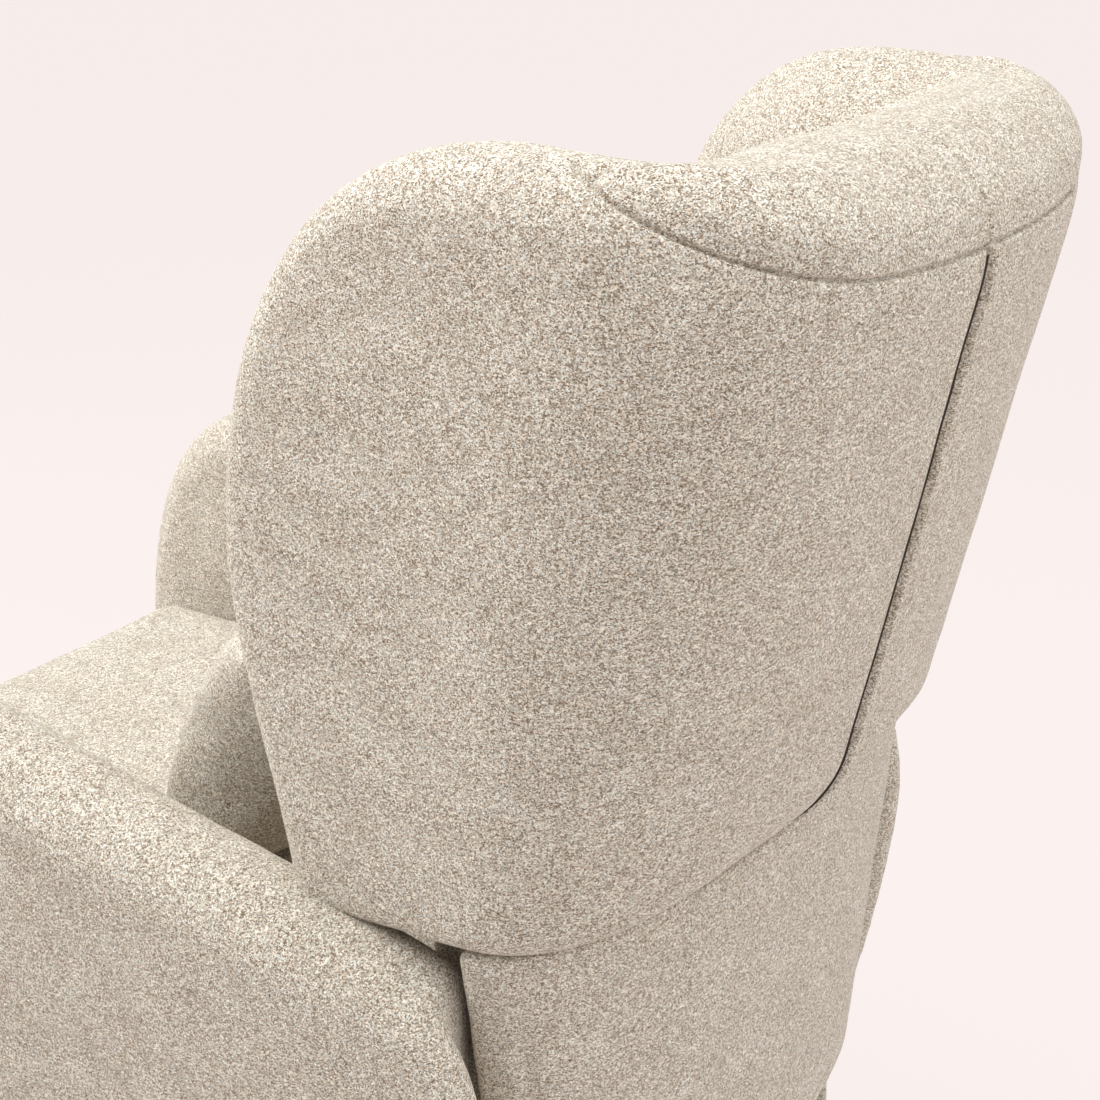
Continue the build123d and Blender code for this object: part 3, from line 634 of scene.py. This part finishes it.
def make_pillow():
    low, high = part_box("lumbar_pillow")
    piece = new_mesh("lumbar_pillow_cover", pillow_points(high.x - low.x + 0.004), pillow_faces())
    drop_loose_points(piece)
    lean = math.radians(PILLOW_LEAN)
    upright = coordinates(piece)
    leaning = upright.copy()
    leaning[:, 1] = upright[:, 1] * math.cos(lean) + upright[:, 2] * math.sin(lean)
    leaning[:, 2] = -upright[:, 1] * math.sin(lean) + upright[:, 2] * math.cos(lean)
    set_coordinates(piece, leaning + np.array([0, PILLOW_Y, PILLOW_Z], np.float32))
    settle(piece, 0.009)
    subdivided(piece, 2)
    swell(piece, waves(piece, (14.0, 0.0022), (45.0, 0.0006)))
    return piece


def rounded_copy(node, name, passes, step):
    """A CAD pad rebuilt as a soft mesh: its own shape, remeshed and relaxed, with a slight unevenness."""
    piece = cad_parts[node].copy()
    piece.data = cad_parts[node].data.copy()
    piece.parent = None
    for key in list(piece.keys()):
        del piece[key]
    piece.name = name
    bpy.context.scene.collection.objects.link(piece)
    remesh = piece.modifiers.new("remesh", "REMESH")
    remesh.mode = "VOXEL"
    remesh.voxel_size = step
    relax = piece.modifiers.new("relax", "SMOOTH")
    relax.factor = 0.5
    relax.iterations = passes
    apply_modifiers(piece)
    subdivided(piece)
    swell(piece, waves(piece, (12.0, 0.0010), (36.0, 0.0004)))
    return piece


# ---------------------------------------------------------------- materials

class Finish:
    """A procedural material put together from object-space textures."""

    def __init__(self, name, roughness, metallic=0.0):
        self.material = bpy.data.materials.new(name)
        self.material.use_nodes = True
        self.nodes, self.links = self.material.node_tree.nodes, self.material.node_tree.links
        self.shader = self.nodes["Principled BSDF"]
        self.shader.inputs["Roughness"].default_value = roughness
        self.shader.inputs["Metallic"].default_value = metallic
        self.place = self.nodes.new("ShaderNodeTexCoord").outputs["Object"]

    def stretched(self, scale):
        node = self.nodes.new("ShaderNodeMapping")
        node.inputs["Scale"].default_value = scale
        self.links.new(self.place, node.inputs["Vector"])
        return node.outputs["Vector"]

    def noise(self, scale, detail=2.0, vector=None):
        node = self.nodes.new("ShaderNodeTexNoise")
        node.inputs["Scale"].default_value = scale
        node.inputs["Detail"].default_value = detail
        self.links.new(vector or self.place, node.inputs["Vector"])
        return node.outputs["Fac"]

    def cells(self, scale, vector):
        """Random cells: their distance field, and two random numbers for each cell."""
        node = self.nodes.new("ShaderNodeTexVoronoi")
        node.inputs["Scale"].default_value = scale
        self.links.new(vector, node.inputs["Vector"])
        split = self.nodes.new("ShaderNodeSeparateColor")
        self.links.new(node.outputs["Color"], split.inputs["Color"])
        return node.outputs["Distance"], split.outputs["Red"], split.outputs["Green"]

    def ramp(self, source, start, end, low=0.0, high=1.0):
        """Runs from one colour to the other as the source goes from low to high."""
        node = self.nodes.new("ShaderNodeValToRGB")
        for element, at, colour in zip(node.color_ramp.elements, (low, high), (start, end)):
            element.position = at
            element.color = (*colour, 1)
        self.links.new(source, node.inputs["Fac"])
        return node.outputs["Color"]

    def multiply(self, factor, a, b):
        node = self.nodes.new("ShaderNodeMix")
        node.data_type = "RGBA"
        node.blend_type = "MULTIPLY"
        node.inputs["Factor"].default_value = factor
        self.links.new(a, node.inputs["A"])
        self.links.new(b, node.inputs["B"])
        return node.outputs["Result"]

    def colour(self, source):
        self.links.new(source, self.shader.inputs["Base Color"])

    def bump(self, source, strength, distance, before=None, raised=True):
        node = self.nodes.new("ShaderNodeBump")
        node.invert = not raised
        node.inputs["Strength"].default_value = strength
        node.inputs["Distance"].default_value = distance
        self.links.new(source, node.inputs["Height"])
        if before:
            self.links.new(before, node.inputs["Normal"])
        self.links.new(node.outputs["Normal"], self.shader.inputs["Normal"])
        return node.outputs["Normal"]


def cover_material():
    """Oat melange boucle: fine loops of cream, sand and brown yarn in uneven rows."""
    finish = Finish("oat_melange_boucle", 0.92)
    depth, tone, hue = finish.cells(1080, finish.stretched((1.0, 1.0, 1.2)))
    loops = finish.ramp(tone, (0.19, 0.125, 0.075), (0.93, 0.89, 0.83))
    tint = finish.ramp(hue, (1.02, 0.84, 0.68), (0.93, 1.0, 1.04))
    colour = finish.multiply(0.7, loops, tint)
    slub_tone = finish.cells(300, finish.stretched((1.0, 1.0, 2.2)))[1]
    colour = finish.multiply(0.8, colour, finish.ramp(slub_tone, (0.84, 0.81, 0.78), (1.16, 1.16, 1.16)))
    broad = finish.ramp(finish.noise(26, 4.0), (0.90, 0.935, 0.92), (0.95, 1.0, 1.0), 0.35, 0.65)
    finish.colour(finish.multiply(1.0, colour, broad))
    finish.shader.inputs["Specular IOR Level"].default_value = 0.15
    finish.shader.inputs["Sheen Weight"].default_value = 0.12
    finish.shader.inputs["Sheen Roughness"].default_value = 0.6
    finish.shader.inputs["Sheen Tint"].default_value = (1.0, 0.97, 0.92, 1)
    rows = finish.bump(finish.noise(520, 1.0, finish.stretched((1.0, 1.0, 1.8))), 0.4, 0.0008)
    finish.bump(depth, 0.35, 0.0004, rows, raised=False)
    return finish.material


def grained_material(name, dark, light, scale, stretch, roughness, metallic, height):
    """Streaked or speckled finish between two tones, with a matching bump."""
    finish = Finish(name, roughness, metallic)
    streaks = finish.noise(scale, 6.0, finish.stretched(stretch))
    finish.colour(finish.ramp(streaks, dark, light, 0.30, 0.70))
    finish.bump(streaks, 0.4, height)
    return finish.material


# Slot: dark tone, light tone, grain scale, grain stretch, roughness, metallic, bump height
FINISHES = {
    "timber": ((0.42, 0.27, 0.14), (0.66, 0.48, 0.29), 30, (1.0, 6.0, 6.0), 0.6, 0.0, 0.0006),
    "black_steel": ((0.020, 0.020, 0.022), (0.045, 0.045, 0.048), 900, (1, 1, 1), 0.45, 0.7, 0.0001),
    "bright_steel": ((0.45, 0.45, 0.46), (0.70, 0.70, 0.72), 400, (1, 1, 1), 0.30, 1.0, 0.0001),
    "nylon": ((0.70, 0.68, 0.62), (0.82, 0.80, 0.75), 300, (1, 1, 1), 0.5, 0.0, 0.0001),
    "black_plastic": ((0.018, 0.018, 0.019), (0.035, 0.035, 0.037), 1200, (1, 1, 1), 0.5, 0.0, 0.0002),
    "rubber_pad": ((0.020, 0.020, 0.020), (0.050, 0.049, 0.047), 700, (1, 1, 1), 0.85, 0.0, 0.0003),
    "webbing": ((0.10, 0.085, 0.07), (0.30, 0.26, 0.21), 500, (1.0, 4.0, 1.0), 0.9, 0.0, 0.0006),
    "dust_cloth": ((0.025, 0.025, 0.027), (0.060, 0.060, 0.063), 1500, (1, 1, 1), 0.95, 0.0, 0.0003),
    # zipper_tape is taken near black: partly the tape's own dark brown, partly painted shade for the
    # inside of the slit.
    "zipper_tape": ((0.018, 0.011, 0.007), (0.060, 0.038, 0.024), 1200, (1.0, 1.0, 3.0), 0.8, 0.0, 0.0003),
}


# ---------------------------------------------------------------- stage

FLOOR_HALF_SIZE = 60
FLOOR_GLOW = 0.92

# Name: place, point it faces, side of the square lamp, watts
LIGHTS = {
    "overhead_softbox": ((0.6, -0.1, 2.9), (0, 0.1, 0.7), 2.4, 55),
    "rear_fill": ((-1.2, 2.6, 1.9), (0, 0.2, 0.7), 1.8, 24),
    "front_fill": ((0.6, -2.6, 1.6), (0, -0.1, 0.6), 1.6, 44),
}


def make_camera():
    azimuth, elevation = math.radians(CAMERA_AZIMUTH), math.radians(CAMERA_ELEVATION)
    back = Vector((math.sin(azimuth) * math.cos(elevation), -math.cos(azimuth) * math.cos(elevation),
                   math.sin(elevation)))
    data = bpy.data.cameras.new("camera")
    data.lens = CAMERA_LENS
    data.sensor_width = CAMERA_SENSOR
    camera = bpy.data.objects.new("camera", data)
    camera.location = CAMERA_PLACE
    camera.rotation_euler = back.to_track_quat("Z", "Y").to_euler()
    bpy.context.scene.collection.objects.link(camera)
    bpy.context.scene.camera = camera


def make_light(name, place, aim, size, power):
    data = bpy.data.lights.new(name, "AREA")
    data.energy = power
    data.size = size
    lamp = bpy.data.objects.new(name, data)
    lamp.location = place
    lamp.rotation_euler = (Vector(place) - Vector(aim)).to_track_quat("Z", "Y").to_euler()
    bpy.context.scene.collection.objects.link(lamp)


def paper_material():
    """Seamless studio paper, evenly bright, with a faint contact shade."""
    finish = Finish("studio_paper", 0.9)
    nodes, links = finish.nodes, finish.links
    finish.colour(finish.ramp(finish.noise(60), (0.895, 0.825, 0.81), (0.905, 0.835, 0.82), 0.4, 0.6))
    glow = nodes.new("ShaderNodeEmission")
    glow.inputs["Color"].default_value = (0.956, 0.871, 0.855, 1)
    glow.inputs["Strength"].default_value = 1.0
    blend = nodes.new("ShaderNodeMixShader")
    blend.inputs["Fac"].default_value = FLOOR_GLOW
    links.new(finish.shader.outputs["BSDF"], blend.inputs[1])
    links.new(glow.outputs["Emission"], blend.inputs[2])
    links.new(blend.outputs["Shader"], nodes["Material Output"].inputs["Surface"])
    return finish.material


def make_stage():
    world = bpy.data.worlds.new("studio")
    world.use_nodes = True
    background = world.node_tree.nodes["Background"]
    background.inputs["Color"].default_value = (0.92, 0.92, 0.93, 1)
    background.inputs["Strength"].default_value = 0.72
    bpy.context.scene.world = world
    bpy.context.scene.view_settings.view_transform = "Standard"
    size = FLOOR_HALF_SIZE
    corners = np.array([(-size, -size, 0), (size, -size, 0), (size, size, 0), (-size, size, 0)])
    floor = new_mesh("floor", corners, np.array([(0, 1, 2, 3)]))
    floor.data.materials.append(paper_material())
    for name, values in LIGHTS.items():
        make_light(name, *values)


# ---------------------------------------------------------------- assembly

make_camera()
make_stage()
cover = cover_material()
finishes = {name: grained_material(name, *values) for name, values in FINISHES.items()}
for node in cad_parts.values():
    slot_name = node.data.materials[0].name.split(".")[0]
    node.data.materials.clear()
    node.data.materials.append(finishes.get(slot_name, cover))


def finish_cover(piece, body, nodes):
    piece.data.materials.clear()
    piece.data.materials.append(cover)
    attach(piece, body)
    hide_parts(*nodes)


shell = make_shell()
finish_cover(shell, "backrest", ["wing_left", "wing_right", "back_pad"])
finish_cover(make_rear_panel(), "backrest", ["rear_panel"])
for side in ("left", "right"):
    finish_cover(make_arm(side), "chassis", ["arm_pad_" + side])
finish_cover(make_seat(), "chassis", ["seat_cushion"])
finish_cover(make_pillow(), "pillow", ["lumbar_pillow"])
finish_cover(rounded_copy("back_foot_pad", "back_foot_cover", 4, 0.006), "backrest", ["back_foot_pad"])
finish_cover(rounded_copy("rear_apron", "rear_apron_cover", 1, 0.005), "chassis", ["rear_apron"])
finish_cover(rounded_copy("front_panel", "front_panel_cover", 3, 0.006), "chassis", ["front_panel"])
# The near-black ribbon in the slit is partly the zipper tape's own colour and partly painted shade deep in
# the slit.
zipper = make_zipper_and_painted_slit_shade(shell)
zipper.data.materials.append(finishes["zipper_tape"])
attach(zipper, "backrest")
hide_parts("back_zipper")
